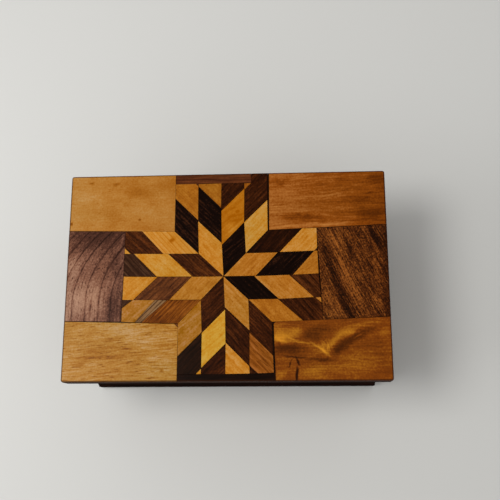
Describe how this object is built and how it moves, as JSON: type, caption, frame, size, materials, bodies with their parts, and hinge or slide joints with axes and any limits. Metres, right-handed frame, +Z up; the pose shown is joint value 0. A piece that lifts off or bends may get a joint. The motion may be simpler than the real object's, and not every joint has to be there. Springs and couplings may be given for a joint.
{
  "type": "wooden puzzle box",
  "caption": "Wooden puzzle box with a hinged lid in star parquetry; sliding plinth strips free a hidden key and a sliding band hides the keyhole.",
  "frame": {"origin": "centre of the footprint, on the surface that the closed box stands on", "axes": "+X right along the length, +Y towards the hinges at the back, +Z up"},
  "size_m": [0.2, 0.131, 0.092],
  "materials": {
    "walnut_carcass": "dark walnut, satin varnish",
    "walnut_plinth": "dark walnut, satin varnish",
    "plain_board": "plain wood, unfinished",
    "velvet": "short-pile velvet",
    "maple_band": "light wood, satin varnish",
    "brass": "satin brass",
    "steel": "brushed",
    "lid_core": "dark wood, satin varnish",
    "honey_wood": "honey-coloured wood, satin varnish",
    "orange_wood": "orange-brown wood, satin varnish",
    "pale_wood": "pale tan wood, satin varnish",
    "figured_wood": "figured golden-brown wood, satin varnish",
    "end_walnut": "purplish-brown walnut, satin varnish",
    "end_golden": "golden-brown wood with dark pores, satin varnish",
    "border_brown": "reddish-brown wood, satin varnish",
    "border_black": "nearly black wood, satin varnish",
    "star_light": "yellow light wood, satin varnish",
    "star_dark": "very dark wood, satin varnish"
  },
  "bodies": {
    "box": {"base_cover": "plain_board", "base_board": "walnut_carcass", "front_wall": "walnut_carcass", "back_wall": "walnut_carcass", "left_wall": "walnut_carcass", "right_wall": "walnut_carcass", "plinth_back": "walnut_plinth", "plinth_left": "walnut_plinth", "groove_plug": "plain_board", "floor_lining": "velvet", "key": "brass", "band_front": "maple_band", "band_back": "maple_band", "band_left": "maple_band", "band_right": "maple_band", "lock_plate": "brass", "lock_cap": "brass", "lock_spring": "steel", "lock_pin": "steel", "lock_screws": "brass", "hinge_leaves_box": "brass", "hinge_pins": "brass", "hinge_screws_box": "brass"},
    "front_plinth_strip": {"plinth_front": "walnut_plinth", "plinth_hook": "brass"},
    "right_plinth_strip": {"plinth_right": "walnut_plinth", "right_rail": "plain_board"},
    "keyhole_cover": {"keyhole_slide": "maple_band", "slide_stop_pin": "brass"},
    "bolt": {"lock_bolt": "steel"},
    "lid": {"lid_board": "lid_core", "panel_back_left": "honey_wood", "panel_back_right": "orange_wood", "panel_front_left": "pale_wood", "panel_front_right": "figured_wood", "panel_left_end": "end_walnut", "panel_right_end": "end_golden", "border_back": "border_brown", "border_front": "border_black", "star_up_left_light": "star_light", "star_up_left_dark": "star_dark", "star_up_right_light": "star_light", "star_up_right_dark": "star_dark", "star_right_upper_light": "star_light", "star_right_upper_dark": "star_dark", "star_right_lower_light": "star_light", "star_right_lower_dark": "star_dark", "star_down_right_light": "star_light", "star_down_right_dark": "star_dark", "star_down_left_light": "star_light", "star_down_left_dark": "star_dark", "star_left_lower_light": "star_light", "star_left_lower_dark": "star_dark", "star_left_upper_light": "star_light", "star_left_upper_dark": "star_dark", "lid_catch": "brass", "catch_screws": "brass", "hinge_leaves_lid": "brass", "hinge_screws_lid": "brass"}
  },
  "joints": [
    {"name": "front_plinth_slide", "type": "slide", "parent": "box", "child": "front_plinth_strip", "axis": [1, 0, 0], "range_m": [0, 0.003]},
    {"name": "right_plinth_slide", "type": "slide", "parent": "box", "child": "right_plinth_strip", "axis": [0, 1, 0], "range_m": [0, 0.038]},
    {"name": "keyhole_cover_slide", "type": "slide", "parent": "box", "child": "keyhole_cover", "axis": [1, 0, 0], "range_m": [0, 0.026]},
    {"name": "bolt_slide", "type": "slide", "parent": "box", "child": "bolt", "axis": [-1, 0, 0], "range_m": [0, 0.004]},
    {"name": "lid_hinge", "type": "hinge", "parent": "box", "child": "lid", "pos_m": [0, 0.0609, 0.07785], "axis": [-1, 0, 0], "range_deg": [0, 120]}
  ]
}
